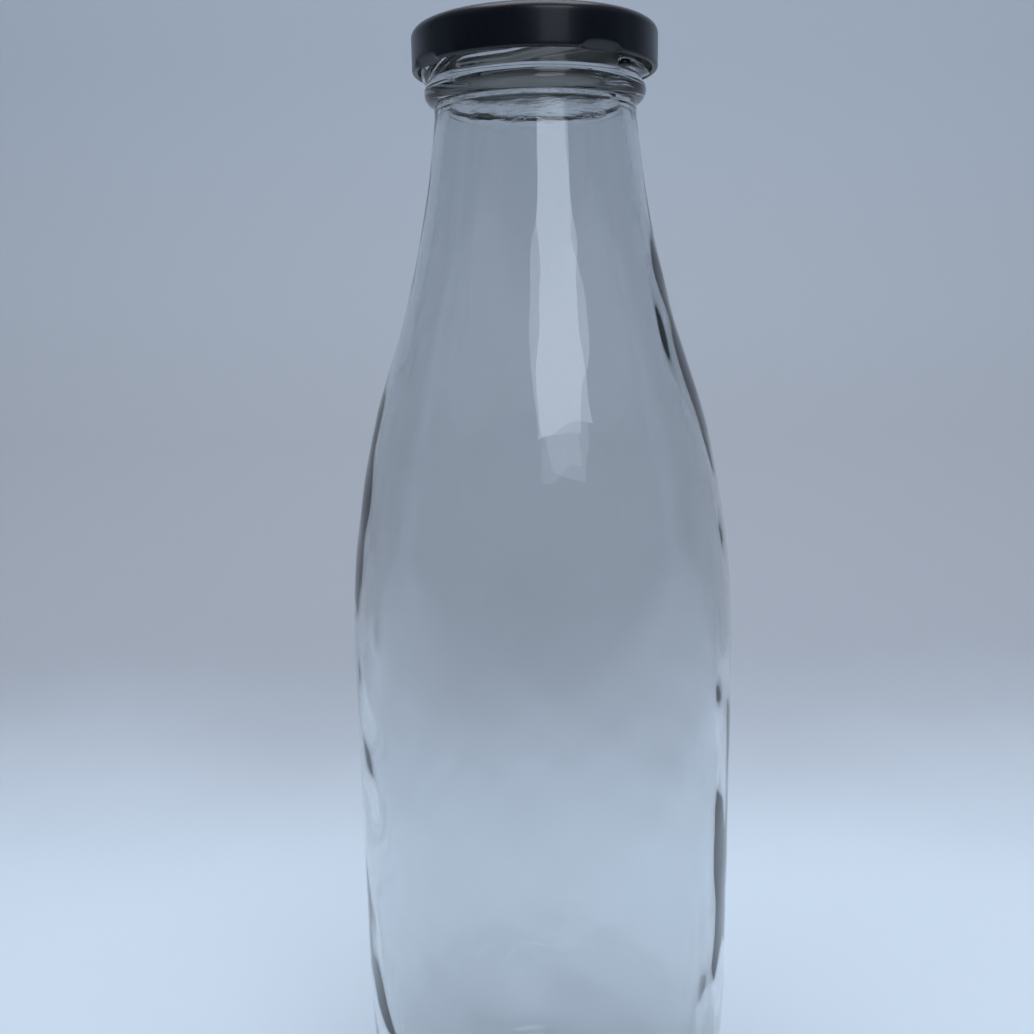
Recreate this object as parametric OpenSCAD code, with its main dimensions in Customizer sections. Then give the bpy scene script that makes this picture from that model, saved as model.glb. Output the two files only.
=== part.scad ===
// Round glass milk bottle with a four-lug twist-off steel cap, in millimetres.
// The origin is the centre of the base plane and +Z runs up through the mouth.
// The front is -Y. The rows of glass ribs and cap lugs repeat every quarter turn.

/* [Bottle body] */
// Radius of the straight body wall
body_r = 43.3; // [42:0.1:45]
// Glass thickness of the body, shoulder and neck
wall = 2.6; // [2.2:0.1:2.9]
// Height at which the straight wall starts, above the slight taper
taper_z = 59; // [50:1:75]
// Angle at which the lower wall tapers in
taper_turn = 3; // [1:0.5:4]
// Radius of the curve between the taper and the straight wall
taper_r = 300; // [200:10:400]
// Radius of the curve between the bearing ring and the taper
heel_r = 10; // [8:0.5:12]

/* [Shoulder and neck] */
// Radius of the long curve where the shoulder leaves the body
shoulder_r = 217; // [210:1:225]
// Angle of the long shoulder curve
shoulder_turn = 13.4; // [13:0.1:13.8]
// Radius of the tighter curve at the top of the shoulder
crest_r = 129; // [120:1:140]
// Angle of the tighter curve
crest_turn = 5.6; // [5.3:0.1:5.9]
// Length of the straight slope between shoulder and neck
slope_length = 3.9; // [2:0.1:6]
// Radius of the hollow curve that sweeps up into the neck
neck_sweep_r = 235; // [230:1:240]
// Angle of the hollow curve
neck_sweep_turn = 14.6; // [14.4:0.1:14.8]

/* [Base] */
// Height of the push-up at the centre of the base
pushup_h = 3.5; // [2:0.1:4]
// Width of the flat bearing ring round the push-up
ring_w = 3; // [2:0.5:4]
// Height of the inside floor at its centre
floor_z = 7.5; // [6.5:0.1:9]
// Radius of the inside curve between floor and side wall
inner_heel_r = 8; // [7:0.5:10]

/* [Mouth] */
// Radius of the mouth's bore
bore_r = 17.9; // [17.7:0.1:18.2]
// Radius of the mouth's outer wall, which carries the ribs
mouth_r = 22.3; // [22.1:0.1:22.5]
// Height of the mouth's lip above the cap's lower edge
lip_rise = 7.1; // [6.9:0.05:7.1]
// Radius of the lip's rounded edges
lip_edge_r = 1.2; // [0.8:0.1:1.6]
// Largest radius of the bead below the mouth
bead_r = 23.15; // [22.9:0.05:23.3]
// Radius of the bead's rounded section
bead_section_r = 2.6; // [2.3:0.1:2.7]
// Drop of the bead's middle below the cap's lower edge
bead_drop = 3.9; // [3.7:0.1:4.2]
// Drop of the mould's parting line below the cap's lower edge
parting_drop = 7.5; // [7:0.1:9]
// Radius of the glass just above the parting line
parting_r = 21.2; // [21.1:0.05:21.5]

/* [Glass ribs] */
// How far a rib stands out of the mouth's wall
rib_out = 1.45; // [1.2:0.05:1.5]
// Height of a rib's section
rib_height = 2.2; // [1.8:0.1:2.2]
// Angle that one rib spans
rib_span = 87; // [80:1:88]
// Angle along the rib at which it starts to climb
rib_knee = 29.5; // [24:0.5:32]
// Drop of a rib's flat end below the cap's lower edge
rib_drop = 1; // [0.9:0.05:1.2]

/* [Cap] */
// Outer radius of the cap
cap_r = 25.5; // [25.3:0.1:26]
// Height of the cap
cap_h = 8.5; // [8.5:0.05:9]
// Height of the cap's lower edge above the bottle's base
cap_z = 262; // [220:1:300]
// Thickness of the cap's steel sheet
sheet = 0.3; // [0.25:0.01:0.35]
// Radius of the edge between the cap's top and skirt
cap_edge_r = 1.9; // [1.2:0.1:1.9]
// Depth of the panel inside the cap's raised outer ring
panel_drop = 0.8; // [0.4:0.1:0.8]
// Radius of the flat button in the middle of the cap
button_r = 7; // [5:0.5:9]
// Inner reach of a lug's tongue
lug_r = 22.75; // [22.65:0.05:23]
// Thickness of a lug's tongue
lug_t = 0.8; // [0.5:0.05:0.8]
// Lift of the cap in one full turn of its screw motion
lead = 30; // [28:1:32]

/* [Liner] */
// Inner radius of the sealing ring
liner_inner_r = 18.95; // [18.9:0.05:19.5]
// Outer radius of the sealing ring
liner_outer_r = 23.3; // [22.8:0.1:23.4]

/* [Hidden] */
$fn = 128;

starts = 4;                 // ribs on the mouth, and lugs on the cap
front = -90;                // direction of -Y as a polar angle
first_rib = front - 42;     // low end of the first rib
first_lug = front - 59;     // middle of the first lug

lip_z = cap_z + lip_rise;
bead_z = cap_z - bead_drop;
parting_z = cap_z - parting_drop;

taper_l = (taper_z - taper_r * sin(taper_turn) - heel_r * (1 - sin(taper_turn))) / cos(taper_turn);
taper_inset = taper_l * sin(taper_turn) + taper_r * (1 - cos(taper_turn));
ring_r = body_r - taper_inset - heel_r * cos(taper_turn);
pushup_r = ring_r - ring_w;
pushup_sphere_r = (pushup_r * pushup_r + pushup_h * pushup_h) / (2 * pushup_h);

// The floor's own radius and the length of the inner taper follow from where they must meet
floor_turn = 5;             // slope of the domed floor at its edge
inner_taper_r = taper_r - wall;
heel_rise = inner_heel_r * (cos(floor_turn) - sin(taper_turn));
heel_run = inner_heel_r * (cos(taper_turn) + sin(floor_turn));
taper_rise = taper_z - inner_taper_r * sin(taper_turn) - floor_z - heel_rise;
taper_run = body_r - wall - inner_taper_r * (1 - cos(taper_turn)) - heel_run;
floor_drop = 1 - cos(floor_turn);   // fall of the floor at its edge, as a part of its radius
floor_r = (taper_run - taper_rise * tan(taper_turn)) / (sin(floor_turn) + floor_drop * tan(taper_turn));
inner_taper_l = (taper_rise + floor_r * floor_drop) / cos(taper_turn);

rib_root = 0.6;             // depth of a rib's root inside the wall
rib_taper = 7;              // angle over which a rib's ends round off
rib_blend = 5;              // softness of the knee, in degrees
rib_tip = 0.2;              // size of a rib's end, as a part of its full section
rib_rings = 30;
rib_section_points = 6;
bead_points = 48;
arc_step_turn = 9;          // largest turn of one step along an arc
arc_step_l = 3.5;           // largest length of one step along an arc

neck_end_drop = 1.6;        // drop of the neck's top, inside the mouth wall, below cap_z
seal_gap = 0.05;            // air left around the liner
liner_edge_r = 0.35;        // radius of the liner's rounded edges
curl_r = 0.5;               // middle radius of the rolled lower edge
curl_turn = 260;
panel_bend_r = 0.6;
panel_bend = 45;
panel_step_l = (panel_drop - 2 * panel_bend_r * (1 - cos(panel_bend))) / sin(panel_bend);
panel_step_end = 18.3;      // radius at which the raised outer ring is reached
button_bend_r = 1.5;
button_bend = 15;
button_step_l = 1.2;
dent_h = 2.3;               // height of the dent pressed in above a lug
dent_depth = 1.4;           // depth of the dent at the cap's lower edge
dent_reach = 20.5;          // level radius of the dent's ball at the lower edge
lug_lift = 0.1;             // height of a tongue's underside above the cap's lower edge
lug_round_r = 15.8;         // plan radius of a tongue's tip
overlap = 1;                // extra length of a cutting solid

// ---- Outlines made of tangent stretches ----
// A stretch is [size, turn]. With no turn it is a straight of that length.
// Otherwise it is an arc of that radius, to the left for a positive turn.

function unit(angle) = [cos(angle), sin(angle)];

function arc_point(p, heading, s, part) =
    let (reach = s[0] * sign(s[1]))
    p + reach * unit(heading + 90) - reach * unit(heading + 90 + part * s[1]);

function arc_steps(s) =
    let (turn = abs(s[1]))
    max(ceil(turn / arc_step_turn), ceil(s[0] * turn * PI / 180 / arc_step_l));

function stretch_points(p, heading, s) =
    s[1] == 0
    ? [p + s[0] * unit(heading)]
    : [for (i = [1 : arc_steps(s)]) arc_point(p, heading, s, i / arc_steps(s))];

function path(p, heading, stretches, i = 0) =
    i == len(stretches)
    ? [p]
    : let (points = stretch_points(p, heading, stretches[i]))
      concat(
          [p],
          [for (j = [0 : 1 : len(points) - 2]) points[j]],
          path(points[len(points) - 1], heading + stretches[i][1], stretches, i + 1)
      );

// The same stretches, moved sideways to the left by a distance
function shifted(stretches, by) =
    [for (s = stretches) [s[1] == 0 ? s[0] : s[0] - sign(s[1]) * by, s[1]]];

function reversed(points) = [for (i = [len(points) - 1 : -1 : 0]) points[i]];

// ---- Glass ----

upper_outline = [
    [shoulder_r, shoulder_turn],
    [crest_r, crest_turn],
    [slope_length, 0],
    [neck_sweep_r, -neck_sweep_turn]
];

upper_points = path([body_r, 0], 90, upper_outline);
shoulder_z = cap_z - neck_end_drop - upper_points[len(upper_points) - 1][1];

outer_outline = concat(
    [
        [heel_r, 90 - taper_turn],
        [taper_l, 0],
        [taper_r, taper_turn],
        [shoulder_z - taper_z, 0]
    ],
    upper_outline
);

inner_outline = concat(
    [
        [floor_r, -floor_turn],
        [inner_heel_r, 90 + floor_turn - taper_turn],
        [inner_taper_l, 0],
        [inner_taper_r, taper_turn],
        [shoulder_z - taper_z, 0]
    ],
    shifted(upper_outline, wall)
);

module bottle_outside() {
    base = path([0, pushup_h], 0, [[pushup_sphere_r, -asin(pushup_r / pushup_sphere_r)]]);
    side = path([ring_r, 0], 0, outer_outline);
    rotate_extrude()
        polygon(concat(base, side, [[0, side[len(side) - 1][1]]]));
}

module bottle_inside() {
    side = path([0, floor_z], 0, inner_outline);
    rotate_extrude()
        polygon(concat(side, [[bore_r, cap_z], [bore_r, lip_z + overlap], [0, lip_z + overlap]]));
}

module mouth_wall() {
    land = mouth_r - bore_r - 2 * lip_edge_r;
    outline = path(
        [mouth_r, bead_z],
        90,
        [[lip_z - lip_edge_r - bead_z, 0], [lip_edge_r, 90], [land, 0], [lip_edge_r, 90]]
    );
    rotate_extrude()
        polygon(concat(outline, [[bore_r, bead_z]]));
}

module bead() {
    translate([0, 0, bead_z])
        rotate_extrude()
            translate([bead_r - bead_section_r, 0])
                circle(r = bead_section_r, $fn = bead_points);
}

// Height of a rib's middle above its flat end: level, then climbing at the cap's lead
function rib_rise(angle) =
    let (past_knee = angle - rib_knee)
    lead / 360 * (past_knee + sqrt(past_knee * past_knee + rib_blend * rib_blend)) / 2;

// Share of the full section at a place along the rib, which falls off at both ends
function rib_size(angle) =
    let (short = max(0, 1 - min(angle, rib_span - angle) / rib_taper))
    max(rib_tip, sqrt(1 - short * short));

// One meridian section of a rib: two root corners and a rounded face between them
function rib_section(angle) =
    let (
        size = rib_size(angle),
        z = cap_z - rib_drop + rib_rise(angle),
        half = rib_height / 2 * size,
        face = [
            for (i = [0 : rib_section_points])
                let (t = 180 * i / rib_section_points - 90)
                [mouth_r + rib_out * size * cos(t), z + half * sin(t)]
        ],
        section = concat([[mouth_r - rib_root, z - half]], face, [[mouth_r - rib_root, z + half]])
    )
    [for (p = section) [p[0] * cos(angle), p[0] * sin(angle), p[1]]];

// A closed solid through a list of rings that all have the same number of points
module skin(rings) {
    count = len(rings[0]);
    last = len(rings) - 1;
    sides = [
        for (i = [0 : last - 1], j = [0 : count - 1])
            let (
                a = i * count + j,
                b = i * count + (j + 1) % count,
                c = a + count,
                d = b + count
            )
            each [[a, c, b], [b, c, d]]
    ];
    start_cap = [[for (j = [0 : count - 1]) j]];
    end_cap = [[for (j = [count - 1 : -1 : 0]) last * count + j]];
    polyhedron(points = [for (ring = rings) each ring], faces = concat(sides, start_cap, end_cap));
}

module ribs() {
    rings = [for (i = [0 : rib_rings]) rib_section(rib_span * i / rib_rings)];
    for (k = [0 : starts - 1])
        rotate([0, 0, first_rib + k * 360 / starts])
            skin(rings);
}

module glass_bottle() {
    color([0.72, 0.8, 0.84, 0.45])
        difference() {
            union() {
                bottle_outside();
                translate([0, 0, parting_z])
                    cylinder(r = parting_r, h = parting_drop);
                bead();
                mouth_wall();
                ribs();
            }
            bottle_inside();
        }
}

// ---- Cap ----

function ramp_rise(r, bend, l) = 2 * r * (1 - cos(bend)) + l * sin(bend);
function ramp_run(r, bend, l) = 2 * r * sin(bend) + l * cos(bend);

button_rise = ramp_rise(button_bend_r, button_bend, button_step_l);
button_run = ramp_run(button_bend_r, button_bend, button_step_l);
panel_run = ramp_run(panel_bend_r, panel_bend, panel_step_l);
panel_flat = panel_step_end - panel_run - button_run - button_r;
edge_middle_r = cap_edge_r - sheet / 2;
skirt_l = cap_h - cap_edge_r - curl_r - sheet / 2;

// The middle line of the steel sheet, from the centre of the top to the rolled edge
sheet_line = [
    [button_r, 0],
    [button_bend_r, -button_bend],
    [button_step_l, 0],
    [button_bend_r, button_bend],
    [panel_flat, 0],
    [panel_bend_r, panel_bend],
    [panel_step_l, 0],
    [panel_bend_r, -panel_bend],
    [cap_r - cap_edge_r - panel_step_end, 0],
    [edge_middle_r, -90],
    [skirt_l, 0],
    [curl_r, -curl_turn]
];

module cap_sheet() {
    centre_z = cap_z + cap_h - sheet / 2 - panel_drop + button_rise;
    upper = path([0, centre_z + sheet / 2], 0, shifted(sheet_line, sheet / 2));
    lower = path([0, centre_z - sheet / 2], 0, shifted(sheet_line, -sheet / 2));
    rotate_extrude()
        polygon(concat(lower, reversed(upper)));
}

// The ball that presses one dent into the skirt, grown by the sheet for its inner face
module dent_ball(grow) {
    top_reach = dent_reach - dent_depth;
    drop = (dent_reach * dent_reach - top_reach * top_reach - dent_h * dent_h) / (2 * dent_h);
    translate([cap_r + top_reach, 0, cap_z - drop])
        sphere(r = sqrt(dent_reach * dent_reach + drop * drop) + grow);
}

module at_lugs() {
    for (k = [0 : starts - 1])
        rotate([0, 0, first_lug + k * 360 / starts])
            children();
}

module dent_wall() {
    intersection() {
        dent_ball(sheet);
        translate([0, 0, cap_z + lug_lift])
            cylinder(r = cap_r - sheet / 2, h = dent_h + overlap);
    }
}

module tongue() {
    intersection() {
        translate([lug_r + lug_round_r, 0, cap_z + lug_lift])
            cylinder(r = lug_round_r, h = lug_t);
        translate([0, 0, cap_z])
            cylinder(r = cap_r - sheet / 2, h = lug_t + overlap);
    }
}

module cap_shell() {
    color([0.09, 0.1, 0.13])
        difference() {
            union() {
                cap_sheet();
                at_lugs() {
                    dent_wall();
                    tongue();
                }
            }
            at_lugs()
                dent_ball(0);
        }
}

module cap_liner() {
    low = lip_z + seal_gap;
    high = cap_z + cap_h - sheet - seal_gap;
    width = liner_outer_r - liner_inner_r - 2 * liner_edge_r;
    height = high - low - 2 * liner_edge_r;
    corner = [liner_edge_r, 90];
    outline = path(
        [liner_inner_r + liner_edge_r, low],
        0,
        [[width, 0], corner, [height, 0], corner, [width, 0], corner, [height, 0]]
    );
    color([0.82, 0.8, 0.74])
        rotate_extrude()
            polygon(outline);
}

glass_bottle();
cap_shell();
cap_liner();
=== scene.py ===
"""Looks of the glass milk bottle: smooth glass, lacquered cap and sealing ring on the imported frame."""

import math

import bmesh
import bpy
import numpy as np
from mathutils import Matrix, Vector


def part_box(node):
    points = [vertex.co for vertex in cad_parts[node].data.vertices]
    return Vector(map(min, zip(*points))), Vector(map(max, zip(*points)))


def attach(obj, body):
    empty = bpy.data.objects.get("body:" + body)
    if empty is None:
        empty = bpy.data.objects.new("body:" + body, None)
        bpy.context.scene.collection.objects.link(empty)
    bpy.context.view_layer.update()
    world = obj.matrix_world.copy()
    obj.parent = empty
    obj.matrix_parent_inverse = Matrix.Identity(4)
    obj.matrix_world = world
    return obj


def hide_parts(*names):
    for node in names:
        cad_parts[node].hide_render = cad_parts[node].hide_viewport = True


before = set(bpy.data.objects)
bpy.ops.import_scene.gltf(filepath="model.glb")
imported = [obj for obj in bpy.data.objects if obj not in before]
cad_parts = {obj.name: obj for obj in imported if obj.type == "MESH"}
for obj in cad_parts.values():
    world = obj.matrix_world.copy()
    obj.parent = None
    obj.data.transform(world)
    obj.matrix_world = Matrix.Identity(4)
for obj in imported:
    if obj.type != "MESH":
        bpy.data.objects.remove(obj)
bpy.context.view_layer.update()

MM = 0.001

# ---- Places, from the frame ----
CAP_LOW, CAP_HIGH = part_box("cap_shell")
LIP_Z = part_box("glass_bottle")[1].z
LINER_LOW, LINER_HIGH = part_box("cap_liner")
CAP_Z = CAP_LOW.z                       # the cap's lower edge
CAP_H = CAP_HIGH.z - CAP_Z
CAP_R = CAP_HIGH.x
BODY_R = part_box("glass_bottle")[1].x

# ---- Bottle dimensions, in metres, the same as the frame's ----
WALL = 2.6 * MM
SHOULDER_DROP = 126.16 * MM             # from the cap's lower edge down to the shoulder
SHOULDER_Z = CAP_Z - SHOULDER_DROP
TAPER_Z, TAPER_R, TAPER = 59 * MM, 300 * MM, 3
HEEL_R = 10 * MM
PUSHUP_H, RING_W = 3.5 * MM, 3.0 * MM
FLOOR_Z, FLOOR_TURN, INNER_HEEL_R = 7.5 * MM, 5, 8 * MM
UPPER = [(217 * MM, 13.4), (129 * MM, 5.6), (3.9 * MM, 0), (235 * MM, -14.6)]
BORE_R, MOUTH_R, LIP_EDGE_R = 17.9 * MM, 22.3 * MM, 1.2 * MM
BEAD_R, BEAD_SECTION_R, BEAD_DROP = 23.15 * MM, 2.6 * MM, 3.9 * MM
PARTING_DROP, PARTING_R, GROOVE_R = 7.5 * MM, 21.2 * MM, 20.98 * MM
RIB_OUT, RIB_HALF, RIB_SPAN, RIB_KNEE, RIB_DROP = 1.4 * MM, 1.08 * MM, 87, 29.5, 1.0 * MM
LEAD = 30 * MM
STARTS = 4
FRONT = -90
FIRST_RIB, FIRST_LUG = FRONT - 42, FRONT - 59
AROUND = 222                            # steps round the bottle
SKIN = 0.045 * MM                       # height of the outer skin's waves
RIB_EASE = 25                           # how softly a rib bends upward at its knee, in square degrees
RIB_END = 7                             # degrees over which a rib rounds off at each end

# ---- Cap dimensions ----
SHEET = 0.3 * MM
CAP_EDGE_R, PANEL_DROP, BUTTON_R = 1.9 * MM, 0.8 * MM, 7 * MM
CURL_R, CURL_TURN = 0.5 * MM, 260
PANEL_BEND_R, PANEL_BEND, PANEL_STEP_END = 0.6 * MM, 45, 18.3 * MM
BUTTON_BEND_R, BUTTON_BEND, BUTTON_STEP = 1.5 * MM, 15, 1.2 * MM
DENT_H, DENT_DEPTH, DENT_HALF = 2.3 * MM, 1.4 * MM, 13
CAP_AROUND = 360

# ---- Sealing ring dimensions ----
LINER_BORE_R, LINER_EDGE_R = 18.95 * MM, 0.35 * MM
LIP_MARK_R, LIP_MARK_WIDTH, LIP_MARK_DEPTH = 20.1 * MM, 0.9 * MM, 0.12 * MM
LINER_AROUND = 180

# ---- Stage dimensions, in metres ----
FLOOR_FRONT, FLOOR_BACK, FLOOR_HALF = 2.0, 0.2, 3.0
WALL_BEND, WALL_H = 0.4, 1.2
FLOOR_SINK = 0.05 * MM                  # keeps the floor just clear of the bearing ring


# ---- Outlines made of tangent stretches, as in the frame: (size, turn in degrees) ----
def unit(angle):
    return np.array([math.cos(math.radians(angle)), math.sin(math.radians(angle))])


def trace(start, heading, stretches, step):
    """Points about one step apart along the stretches. Returns the points and the last heading."""
    p = np.array(start, float)
    points = [p]
    for size, turn in stretches:
        if turn == 0:
            n = max(1, round(size / step))
            points += [p + unit(heading) * size * (i + 1) / n for i in range(n)]
        else:
            n = max(round(abs(turn) / 9), math.ceil(size * math.radians(abs(turn)) / step))
            reach = math.copysign(size, turn)
            centre = p + reach * unit(heading + 90)
            points += [centre - reach * unit(heading + 90 + turn * (i + 1) / n) for i in range(n)]
            heading += turn
        p = points[-1]
    return np.array(points), heading


def shifted(stretches, by):
    """The same stretches, moved over to the left of their heading."""
    return [
        (size if turn == 0 else size - by * math.copysign(1, turn), turn)
        for size, turn in stretches
    ]


def sin_d(angle):
    return math.sin(math.radians(angle))


def cos_d(angle):
    return math.cos(math.radians(angle))


# ---- Meshes from rings ----
def ring_mesh(name, grid, closed_loop=False, start_pole=None, end_pole=None):
    """A surface through rings of points, grid[row, step] = (x, y, z). Poles close its two ends."""
    rows, around, _ = grid.shape
    verts = grid.reshape(-1, 3)
    j = np.arange(around)
    k = (j + 1) % around
    faces = []
    last = rows if closed_loop else rows - 1
    for i in range(last):
        a, b = i * around, ((i + 1) % rows) * around
        faces.append(np.stack([a + j, a + k, b + k, b + j], axis=1))
    quads = np.concatenate(faces).tolist()
    verts = verts.tolist()
    for pole, row, flip in ((start_pole, 0, True), (end_pole, rows - 1, False)):
        if pole is None:
            continue
        verts.append(list(pole))
        tip = len(verts) - 1
        base = row * around
        for a, b in zip(j.tolist(), k.tolist()):
            quads.append([base + b, base + a, tip] if flip else [base + a, base + b, tip])
    mesh = bpy.data.meshes.new(name)
    mesh.from_pydata(verts, [], quads)
    mesh.validate()
    shape = bmesh.new()
    shape.from_mesh(mesh)
    bmesh.ops.recalc_face_normals(shape, faces=shape.faces)
    shape.to_mesh(mesh)
    shape.free()
    mesh.polygons.foreach_set("use_smooth", [True] * len(mesh.polygons))
    obj = bpy.data.objects.new(name, mesh)
    bpy.context.scene.collection.objects.link(obj)
    return obj


def around_grid(rows, around):
    """Radius, height and angle of every point of an outline turned in equal steps."""
    angle = np.arange(around) * 2 * math.pi / around
    r = np.repeat(rows[:, :1], around, axis=1)
    z = np.repeat(rows[:, 1:], around, axis=1)
    a = np.repeat(angle[None, :], len(rows), axis=0)
    return r, z, a


def turn_points(radius, angle, z):
    return np.stack([radius * np.cos(angle), radius * np.sin(angle), z], axis=-1)


def waves(rng, angle, z, count, amplitude, turns, lengths):
    """A smooth random field on the wall that closes on itself round the bottle."""
    field = np.zeros(np.broadcast(angle, z).shape)
    for _ in range(count):
        m = rng.integers(turns[0], turns[1] + 1)
        n = 2 * math.pi / rng.uniform(*lengths) * rng.choice([-1, 1])
        field += np.cos(m * angle + n * z + rng.uniform(0, 2 * math.pi)) * rng.uniform(0.5, 1)
    return field * amplitude / math.sqrt(count / 2)


def bump_at(value, middle, width):
    return np.exp(-((value - middle) / width) ** 2)


def smooth_step(x):
    x = np.clip(x, 0, 1)
    return x * x * (3 - 2 * x)


def degrees_from(angle, middle):
    """Signed difference in degrees between angles in radians and a middle in degrees."""
    return (np.degrees(angle) - middle + 180) % 360 - 180


# ---- The bottle ----
def lower_wall():
    """The taper's straight length, and how far in from the body it brings the heel."""
    heel_rise = HEEL_R * (1 - sin_d(TAPER))
    length = (TAPER_Z - TAPER_R * sin_d(TAPER) - heel_rise) / cos_d(TAPER)
    inset = length * sin_d(TAPER) + TAPER_R * (1 - cos_d(TAPER))
    return length, inset


def outer_line():
    length, inset = lower_wall()
    ring_r = BODY_R - inset - HEEL_R * cos_d(TAPER)
    pushup_r = ring_r - RING_W
    sphere_r = (pushup_r**2 + PUSHUP_H**2) / (2 * PUSHUP_H)
    pushup_turn = math.degrees(math.asin(pushup_r / sphere_r))
    base, _ = trace([0, PUSHUP_H], 0, [(sphere_r, -pushup_turn)], 2.5 * MM)
    ring = np.linspace([pushup_r, 0], [ring_r, 0], 4)
    side = [(HEEL_R, 90 - TAPER), (length, 0), (TAPER_R, TAPER), (SHOULDER_Z - TAPER_Z, 0)] + UPPER
    wall, _ = trace([ring_r, 0], 0, side, 1.5 * MM)
    parting = CAP_Z - PARTING_DROP
    wall = wall[wall[:, 1] < parting - 0.3 * MM]
    return np.concatenate([base[1:-1], ring, wall[1:], finish_line()])


def finish_line():
    """Outline of the mouth from just under the parting line to the top of the lip."""
    parting = CAP_Z - PARTING_DROP
    bead_z = CAP_Z - BEAD_DROP
    centre = BEAD_R - BEAD_SECTION_R
    low = math.degrees(math.acos((GROOVE_R - centre) / BEAD_SECTION_R))
    high = math.degrees(math.acos((MOUTH_R - centre) / BEAD_SECTION_R))
    # a small step outward at the parting line, then the groove up to the foot of the bead
    points = [
        [PARTING_R - 0.04 * MM, parting - 0.15 * MM],
        [PARTING_R - 0.02 * MM, parting - 0.05 * MM],
        [PARTING_R + 0.06 * MM, parting + 0.05 * MM],
    ]
    foot = bead_z - BEAD_SECTION_R * sin_d(low)
    groove_start = [PARTING_R + 0.06 * MM, parting + 0.12 * MM]
    groove = np.linspace(groove_start, [GROOVE_R, foot - 0.05 * MM], 7)
    points += groove.tolist()
    arc = np.linspace(-low, high, 24)
    points += [[centre + BEAD_SECTION_R * cos_d(a), bead_z + BEAD_SECTION_R * sin_d(a)] for a in arc]
    shelf = points[-1][1]
    top = LIP_Z - LIP_EDGE_R
    points += [[MOUTH_R, z] for z in np.arange(shelf + 0.25 * MM, top, 0.25 * MM)]
    land = MOUTH_R - BORE_R - 2 * LIP_EDGE_R
    lip, _ = trace([MOUTH_R, top], 90, [(LIP_EDGE_R, 90), (land, 0), (LIP_EDGE_R, 90)], 0.4 * MM)
    return np.concatenate([points, lip])


def inner_floor():
    """Radius of the domed floor and length of the inner taper, from where the two must meet."""
    drop = 1 - cos_d(FLOOR_TURN)
    slope = math.tan(math.radians(TAPER))
    taper_r = TAPER_R - WALL
    heel_rise = INNER_HEEL_R * (cos_d(FLOOR_TURN) - sin_d(TAPER))
    heel_run = INNER_HEEL_R * (cos_d(TAPER) + sin_d(FLOOR_TURN))
    rise = TAPER_Z - taper_r * sin_d(TAPER) - FLOOR_Z - heel_rise
    run = BODY_R - WALL - taper_r * (1 - cos_d(TAPER)) - heel_run
    floor_r = (run - rise * slope) / (sin_d(FLOOR_TURN) + drop * slope)
    return floor_r, (rise + floor_r * drop) / cos_d(TAPER)


def inner_line():
    """Outline of the inside, from the floor's centre up to the lip."""
    floor_r, length = inner_floor()
    heel = (INNER_HEEL_R, 90 + FLOOR_TURN - TAPER)
    wall = [(length, 0), (TAPER_R - WALL, TAPER), (SHOULDER_Z - TAPER_Z, 0)]
    stretches = [(floor_r, -FLOOR_TURN), heel] + wall + shifted(UPPER, WALL)
    points, _ = trace([0, FLOOR_Z], 0, stretches, 1.9 * MM)
    top = LIP_Z - LIP_EDGE_R
    bore = [[BORE_R, z] for z in np.arange(points[-1][1] + 1.5 * MM, top - 0.5 * MM, 1.5 * MM)]
    return np.concatenate([points[1:], bore])


def rib_field(angle, z):
    """How far the ribs stand out of the mouth's wall."""
    out = np.zeros(np.broadcast(angle, z).shape)
    for k in range(STARTS):
        along = (np.degrees(angle) - FIRST_RIB - k * 360 / STARTS + 180) % 360 - 180
        along = np.where(along < -90, along + 360, along)
        past = along - RIB_KNEE
        rise = LEAD / 360 * (past + np.sqrt(past**2 + RIB_EASE)) / 2
        middle = CAP_Z - RIB_DROP + rise
        end = np.clip(np.minimum(along, RIB_SPAN - along) / RIB_END, 0, 1)
        size = np.sqrt(1 - (1 - end) ** 2)
        across = np.clip(1 - ((z - middle) / (RIB_HALF * np.maximum(size, 0.05))) ** 2, 0, 1)
        out = np.maximum(out, RIB_OUT * size * smooth_step(across * 1.15) ** 0.75)
    return out


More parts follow.
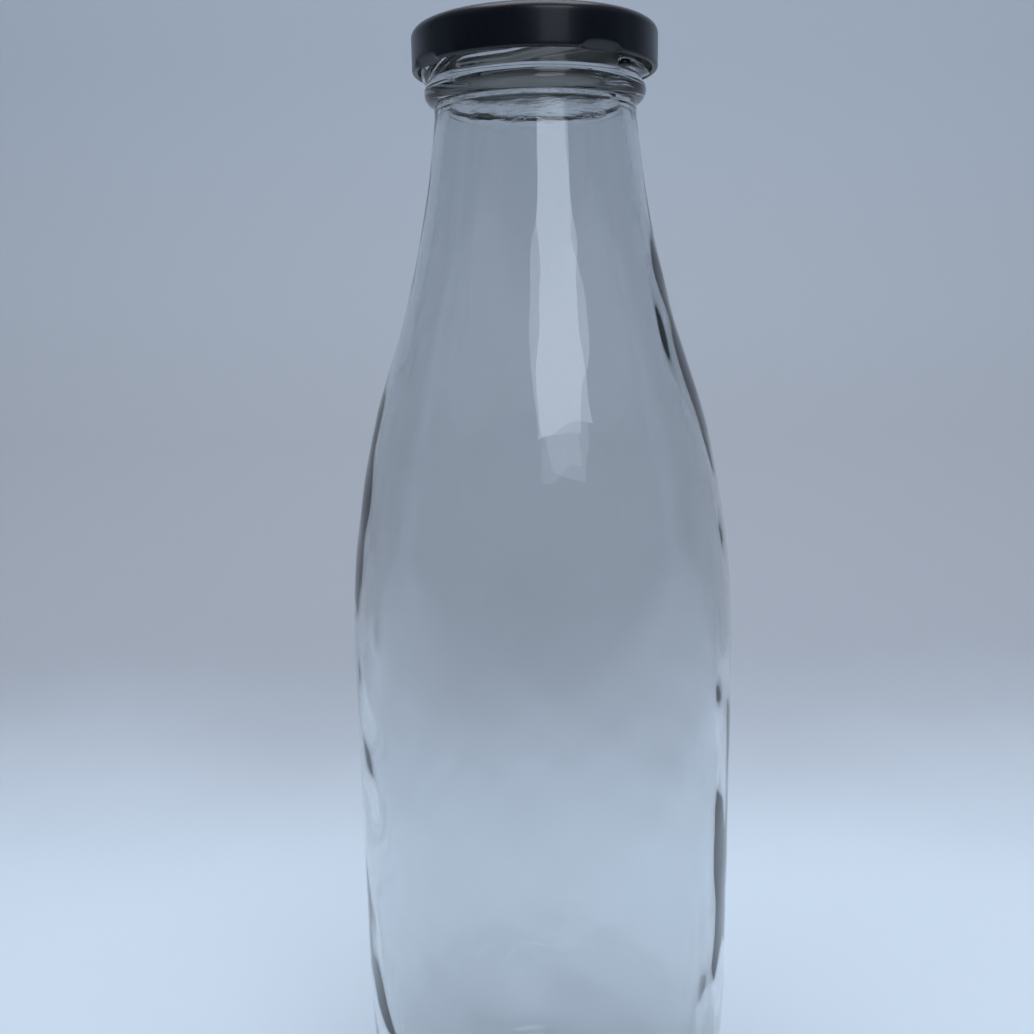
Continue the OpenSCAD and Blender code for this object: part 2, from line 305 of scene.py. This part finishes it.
def make_bottle():
    rng = np.random.default_rng(7)
    outer, inner = outer_line(), inner_line()
    rows = np.concatenate([outer, inner[::-1]])
    r, z, a = around_grid(rows, AROUND)
    is_inner = (np.arange(len(rows)) >= len(outer))[:, None]

    # the inside of blown glass is uneven: long soft waves, shorter ones low down, upright streaks
    side = smooth_step((z - 12 * MM) / (14 * MM)) * smooth_step((CAP_Z - 12 * MM - z) / (25 * MM))
    low = smooth_step((110 * MM - z) / (60 * MM))
    uneven = waves(rng, a, z, 10, 0.2 * MM, (1, 5), (50 * MM, 140 * MM))
    uneven += waves(rng, a, z, 14, 0.04 * MM, (4, 14), (18 * MM, 60 * MM))
    uneven += low * waves(rng, a, z, 14, 0.09 * MM, (4, 12), (16 * MM, 55 * MM))
    uneven += waves(rng, a, z, 10, 0.025 * MM, (14, 30), (90 * MM, 300 * MM))
    r = r + np.where(is_inner, uneven * side, 0)
    # the outer skin is only slightly wavy, and never stands proud of the body
    skin = waves(rng, a, z, 16, SKIN, (3, 18), (12 * MM, 45 * MM)) - 2.5 * SKIN
    r = r + np.where(is_inner, 0, skin * side)
    # chill wrinkles round the neck beside the parting line
    wrinkles = waves(rng, a, z, 16, 0.035 * MM, (16, 55), (1.5 * MM, 6 * MM))
    r = r + np.where(is_inner, 0, bump_at(z, CAP_Z - 6.9 * MM, 0.6 * MM) * wrinkles)
    ripples = waves(rng, a, z, 10, 0.02 * MM, (8, 30), (3 * MM, 6 * MM))
    r = r + np.where(is_inner, bump_at(z, CAP_Z - 6 * MM, 3 * MM) * ripples, 0)
    # the ribs
    mouth = (z > CAP_Z - 2.4 * MM) & (z < LIP_Z - LIP_EDGE_R) & ~is_inner
    r = r + np.where(mouth, rib_field(a, z), 0)

    grid = turn_points(r, a, z)
    return ring_mesh("bottle", grid, start_pole=(0, 0, PUSHUP_H), end_pole=(0, 0, FLOOR_Z))


# ---- The cap ----
def ramp(r, bend, length):
    """Rise and run of a slope with an equal bend at each end."""
    rise = 2 * r * (1 - cos_d(bend)) + length * sin_d(bend)
    run = 2 * r * sin_d(bend) + length * cos_d(bend)
    return rise, run


def cap_line():
    """The closed outline of the steel sheet: out along its upper face, and back along its lower."""
    panel_step = (PANEL_DROP - 2 * PANEL_BEND_R * (1 - cos_d(PANEL_BEND))) / sin_d(PANEL_BEND)
    button_rise, button_run = ramp(BUTTON_BEND_R, BUTTON_BEND, BUTTON_STEP)
    _, panel_run = ramp(PANEL_BEND_R, PANEL_BEND, panel_step)
    line = [
        (BUTTON_R, 0),
        (BUTTON_BEND_R, -BUTTON_BEND), (BUTTON_STEP, 0), (BUTTON_BEND_R, BUTTON_BEND),
        (PANEL_STEP_END - panel_run - button_run - BUTTON_R, 0),
        (PANEL_BEND_R, PANEL_BEND), (panel_step, 0), (PANEL_BEND_R, -PANEL_BEND),
        (CAP_R - CAP_EDGE_R - PANEL_STEP_END, 0),
        (CAP_EDGE_R - SHEET / 2, -90),
        (CAP_H - CAP_EDGE_R - CURL_R - SHEET / 2, 0),
        (CURL_R, -CURL_TURN),
    ]
    centre_z = CAP_Z + CAP_H - SHEET / 2 - PANEL_DROP + button_rise
    upper, _ = trace([0, centre_z + SHEET / 2], 0, shifted(line, SHEET / 2), 0.45 * MM)
    lower, _ = trace([0, centre_z - SHEET / 2], 0, shifted(line, -SHEET / 2), 0.45 * MM)
    return upper[1:], lower[1:]


def make_cap():
    upper, lower = cap_line()
    rows = np.concatenate([upper, lower[::-1]])
    r, z, a = around_grid(rows, CAP_AROUND)
    # each lug is an arch where the skirt's lower edge is pressed inward
    low = z - CAP_Z
    pressed = np.zeros_like(r)
    for k in range(STARTS):
        off = np.abs(degrees_from(a, FIRST_LUG + k * 360 / STARTS)) / DENT_HALF
        pressed = np.maximum(pressed, np.sqrt(np.clip(1 - off**2, 0, 1)) * smooth_step((1 - off) * 2.5))
    skirt = r > CAP_R - 3 * MM
    arch = np.maximum(0.75 * DENT_H * pressed, 0.1 * MM)
    depth = smooth_step((arch - low) / arch)
    r = np.where(skirt, r - pressed * DENT_DEPTH * depth, r)
    rolled = skirt & (low < 2 * CURL_R + SHEET) & (rows[:, :1] < CAP_R - SHEET * 1.2)
    z = np.where(rolled, CAP_Z + low * (1 - 0.3 * pressed), z)
    grid = turn_points(r, a, z)
    top, under = (0, 0, upper[0][1]), (0, 0, lower[0][1])
    return ring_mesh("cap", grid, start_pole=top, end_pole=under)


def inner_faces(obj):
    """The cap's inside has its own pale lacquer, from the panel's underside down to the roll."""
    for face in obj.data.polygons:
        c, normal = face.center, face.normal
        radial = math.hypot(c.x, c.y)
        inward = normal.x * c.x + normal.y * c.y < 0
        under = radial < CAP_R - 1.6 * MM and normal.z < -0.2 and c.z > CAP_Z + 2 * MM
        lining = inward and c.z > CAP_Z + 1.35 * MM and radial > CAP_R - 2 * MM
        if under or lining:
            face.material_index = 1


# ---- The sealing ring ----
def make_liner():
    """A soft ring with rounded edges, hollowed a little where the lip presses into it."""
    inner, outer = LINER_BORE_R, LINER_HIGH.x
    edge = LINER_EDGE_R
    height = LINER_HIGH.z - LINER_LOW.z
    flat = outer - inner - 2 * edge
    half_loop = [(flat, 0), (edge, 90), (height - 2 * edge, 0), (edge, 90)]
    rows, _ = trace([inner + edge, LINER_LOW.z], 0, half_loop * 2, 0.2 * MM)
    rows = rows[:-1][::-1]
    r, z, a = around_grid(rows, LINER_AROUND)
    underside = z < LINER_LOW.z + 0.3 * height
    z = z + bump_at(r, LIP_MARK_R, LIP_MARK_WIDTH) * underside * LIP_MARK_DEPTH
    return ring_mesh("liner", turn_points(r, a, z), closed_loop=True)


# ---- Materials ----
class Nodes:
    """Short calls for building a material's node tree."""

    def __init__(self, name):
        self.material = bpy.data.materials.new(name)
        self.material.use_nodes = True
        self.tree = self.material.node_tree
        self.tree.nodes.clear()
        self.out = self.tree.nodes.new("ShaderNodeOutputMaterial")

    def add(self, kind, **values):
        node = self.tree.nodes.new("ShaderNode" + kind)
        for key, value in values.items():
            if isinstance(value, bpy.types.NodeSocket):
                self.tree.links.new(value, node.inputs[key])
            elif key in node.inputs:
                node.inputs[key].default_value = value
            else:
                setattr(node, key, value)
        return node

    def link(self, a, b):
        self.tree.links.new(a, b)

    def place(self):
        return self.add("TexCoord").outputs["Object"]


def noise(n, scale, detail=3.0, rough=0.5, vector=None):
    node = n.add("TexNoise", Scale=scale, Detail=detail, Roughness=rough)
    n.link(vector or n.place(), node.inputs["Vector"])
    return node.outputs["Fac"]


def spread(n, value, low, high, to_low, to_high):
    node = n.add("MapRange")
    n.link(value, node.inputs["Value"])
    for key, number in zip(("From Min", "From Max", "To Min", "To Max"), (low, high, to_low, to_high)):
        node.inputs[key].default_value = number
    return node.outputs["Result"]


def bump(n, height, strength, distance, normal=None):
    node = n.add("Bump", Strength=strength, Distance=distance)
    n.link(height, node.inputs["Height"])
    if normal is not None:
        n.link(normal, node.inputs["Normal"])
    return node.outputs["Normal"]


def glass_material():
    n = Nodes("clear_glass")
    shader = n.add("BsdfPrincipled", IOR=1.52)
    shader.inputs["Transmission Weight"].default_value = 1
    shader.inputs["Base Color"].default_value = (0.857, 0.87, 0.878, 1)
    smudge = noise(n, 35, 4)
    n.link(spread(n, smudge, 0.45, 0.75, 0.0, 0.035), shader.inputs["Roughness"])
    soft = bump(n, noise(n, 110, 2), 0.25, 0.02 * MM)
    n.link(bump(n, chill_marks(n), 1.0, 0.12 * MM, soft), shader.inputs["Normal"])
    n.link(shader.outputs["BSDF"], n.out.inputs["Surface"])
    return n.material


def chill_marks(n):
    """Fine flat wrinkles that the mould leaves in the glass beside the parting line."""
    place = n.place()
    parts = n.add("SeparateXYZ")
    n.link(place, parts.inputs["Vector"])
    height = parts.outputs["Z"]
    up = spread(n, height, CAP_Z - 13 * MM, CAP_Z - 9 * MM, 0, 1)
    down = spread(n, height, CAP_Z - 6.6 * MM, CAP_Z - 5.8 * MM, 1, 0)
    flat = n.add("VectorMath", operation="MULTIPLY")
    n.link(place, flat.inputs[0])
    flat.inputs[1].default_value = (1, 1, 3.5)
    lines = noise(n, 330, 4, 0.6, flat.outputs["Vector"])
    patches = spread(n, noise(n, 75, 2), 0.5, 0.62, 0, 1)
    return times(n, times(n, up, down), times(n, lines, patches))


def two_tone(n, factor, a, b):
    """A colour that goes from tone a to tone b with the factor."""
    tone = n.add("Mix", data_type="RGBA")
    tone.inputs["A"].default_value = a
    tone.inputs["B"].default_value = b
    n.link(factor, tone.inputs["Factor"])
    return tone.outputs["Result"]


def times(n, a, b):
    node = n.add("Math", operation="MULTIPLY")
    n.link(a, node.inputs[0])
    n.link(b, node.inputs[1])
    return node.outputs["Value"]


def lacquer_material():
    n = Nodes("black_lacquer")
    shader = n.add("BsdfPrincipled", IOR=1.4)
    tone = two_tone(n, noise(n, 60, 3), (0.004, 0.005, 0.009, 1), (0.008, 0.009, 0.015, 1))
    n.link(tone, shader.inputs["Base Color"])
    n.link(spread(n, noise(n, 90, 5), 0.3, 0.7, 0.24, 0.34), shader.inputs["Roughness"])
    shader.inputs["Coat Weight"].default_value = 0.12
    shader.inputs["Coat Roughness"].default_value = 0.08
    n.link(bump(n, noise(n, 900, 2), 0.12, 0.01 * MM), shader.inputs["Normal"])
    n.link(shader.outputs["BSDF"], n.out.inputs["Surface"])
    return n.material


def inside_lacquer_material():
    n = Nodes("pale_inner_lacquer")
    shader = n.add("BsdfPrincipled", Roughness=0.35, Metallic=0.3)
    tone = two_tone(n, noise(n, 70, 4), (0.42, 0.41, 0.37, 1), (0.5, 0.49, 0.44, 1))
    n.link(tone, shader.inputs["Base Color"])
    n.link(bump(n, noise(n, 500, 3), 0.15, 0.01 * MM), shader.inputs["Normal"])
    n.link(shader.outputs["BSDF"], n.out.inputs["Surface"])
    return n.material


def liner_material():
    n = Nodes("sealing_compound")
    shader = n.add("BsdfPrincipled", Roughness=0.5)
    tone = two_tone(n, noise(n, 200, 4), (0.56, 0.54, 0.48, 1), (0.64, 0.62, 0.56, 1))
    n.link(tone, shader.inputs["Base Color"])
    n.link(bump(n, noise(n, 1500, 2), 0.2, 0.02 * MM), shader.inputs["Normal"])
    n.link(shader.outputs["BSDF"], n.out.inputs["Surface"])
    return n.material


def sweep_material():
    n = Nodes("pale_sweep")
    shader = n.add("BsdfPrincipled", Roughness=0.7)
    along = n.add("SeparateXYZ")
    n.link(n.place(), along.inputs["Vector"])
    # painted shade: the floor is painted darker towards the back and on up the wall, partly the wall's
    # own darker tone, partly standing in for the less light that reaches the back
    back = n.add("Math", operation="ADD")
    n.link(along.outputs["Y"], back.inputs[0])
    n.link(spread(n, noise(n, 5, 3), 0.3, 0.7, -0.02, 0.02), back.inputs[1])
    wall_tone_and_painted_shade = n.add("MapRange", interpolation_type="SMOOTHSTEP")
    n.link(back.outputs["Value"], wall_tone_and_painted_shade.inputs["Value"])
    wall_tone_and_painted_shade.inputs["From Min"].default_value = 0.11
    wall_tone_and_painted_shade.inputs["From Max"].default_value = 0.34
    # painted light: the wall behind is painted paler higher up, to make up for the shade its upright top
    # gets from the lamp overhead
    high = spread(n, along.outputs["Z"], 0.12, 0.4, 1, 0.55)
    factor = times(n, wall_tone_and_painted_shade.outputs["Result"], high)
    tone = two_tone(n, factor, (0.77, 0.87, 0.97, 1), (0.46, 0.495, 0.55, 1))
    # the floor is pale round the bottle and painted darker towards the front: partly the pale paper
    # giving way to a darker room, partly painted shadow falling on the floor from in front
    shade = n.add("VectorMath", operation="SCALE")
    n.link(tone, shade.inputs[0])
    n.link(spread(n, along.outputs["Y"], -0.6, -0.26, 0.32, 1), shade.inputs["Scale"])
    n.link(shade.outputs["Vector"], shader.inputs["Base Color"])
    n.link(shader.outputs["BSDF"], n.out.inputs["Surface"])
    return n.material


# ---- The pieces ----
bottle = make_bottle()
bottle.data.materials.append(glass_material())
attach(bottle, "bottle")
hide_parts("glass_bottle")

cap = make_cap()
cap.data.materials.append(lacquer_material())
cap.data.materials.append(inside_lacquer_material())
inner_faces(cap)
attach(cap, "cap")
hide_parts("cap_shell")

liner = make_liner()
liner.data.materials.append(liner_material())
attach(liner, "liner")
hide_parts("cap_liner")


# ---- Stage, light and camera ----
def make_sweep():
    """A pale floor, curved up into walls behind and far in front of the bottle, with far end walls."""
    rise = [(WALL_H, 0), (WALL_BEND, 90)]
    start = [-FLOOR_FRONT - WALL_BEND, WALL_H + WALL_BEND - FLOOR_SINK]
    line, _ = trace(start, -90, rise + [(FLOOR_FRONT + FLOOR_BACK, 0)] + rise[::-1], 0.02)
    verts = [(x, p[0], p[1]) for p in line for x in (-FLOOR_HALF, FLOOR_HALF)]
    faces = [(2 * i, 2 * i + 1, 2 * i + 3, 2 * i + 2) for i in range(len(line) - 1)]
    smooth = [True] * len(faces) + [False, False]
    for x in (-FLOOR_HALF, FLOOR_HALF):
        faces.append(tuple(range(len(verts), len(verts) + len(line))))
        verts += [(x, p[0], p[1]) for p in line]
    mesh = bpy.data.meshes.new("sweep")
    mesh.from_pydata(verts, [], faces)
    mesh.polygons.foreach_set("use_smooth", smooth)
    obj = bpy.data.objects.new("sweep", mesh)
    bpy.context.scene.collection.objects.link(obj)
    obj.data.materials.append(sweep_material())


def area_light(name, place, target, size, power, colour):
    data = bpy.data.lights.new(name, "AREA")
    data.shape = "RECTANGLE"
    data.size, data.size_y = size
    data.energy = power
    data.color = colour
    obj = bpy.data.objects.new(name, data)
    obj.location = place
    obj.rotation_euler = (Vector(target) - Vector(place)).to_track_quat("-Z", "Y").to_euler()
    bpy.context.scene.collection.objects.link(obj)


def make_camera():
    distance, drop = 235.6 * MM, 45.2 * MM
    pitch, roll, yaw = 11.79, -1.05, -1.31
    # the focal length is as long as the picture is wide, times 1060 / 1034
    sensor, focal, picture = 36, 1060, 1034
    forward = Vector((sin_d(yaw) * cos_d(pitch), cos_d(yaw) * cos_d(pitch), -sin_d(pitch)))
    right = Vector((cos_d(yaw), -sin_d(yaw), 0))
    up = right.cross(forward)
    side = cos_d(roll) * right + sin_d(roll) * up
    top = cos_d(roll) * up - sin_d(roll) * right
    turn = Matrix((side, top, -forward)).transposed()
    data = bpy.data.cameras.new("camera")
    data.sensor_width = sensor
    data.lens = sensor * focal / picture
    data.clip_start = 0.01
    obj = bpy.data.objects.new("camera", data)
    obj.matrix_world = Matrix.Translation((0, -distance, CAP_Z - drop)) @ turn.to_4x4()
    bpy.context.scene.collection.objects.link(obj)
    bpy.context.scene.camera = obj


def make_world():
    world = bpy.data.worlds.new("room")
    bpy.context.scene.world = world
    world.use_nodes = True
    back = world.node_tree.nodes["Background"]
    back.inputs["Color"].default_value = (0.75, 0.82, 0.95, 1)
    back.inputs["Strength"].default_value = 0.19


make_sweep()
make_camera()
make_world()
area_light("overhead", (0.0, -0.05, 1.6), (0, 0.02, 0), (1.4, 1.1), 16.8, (0.92, 0.95, 1))
area_light("window", (0.32, -0.95, 0.85), (0, 0, 0.2), (0.67, 0.38), 2.3, (0.79, 0.875, 1))
area_light("window_foot", (0.32, -0.97, 0.555), (0, 0, 0.2), (0.46, 0.178), 0.3, (0.79, 0.875, 1))
bpy.context.scene.view_settings.view_transform = "Standard"
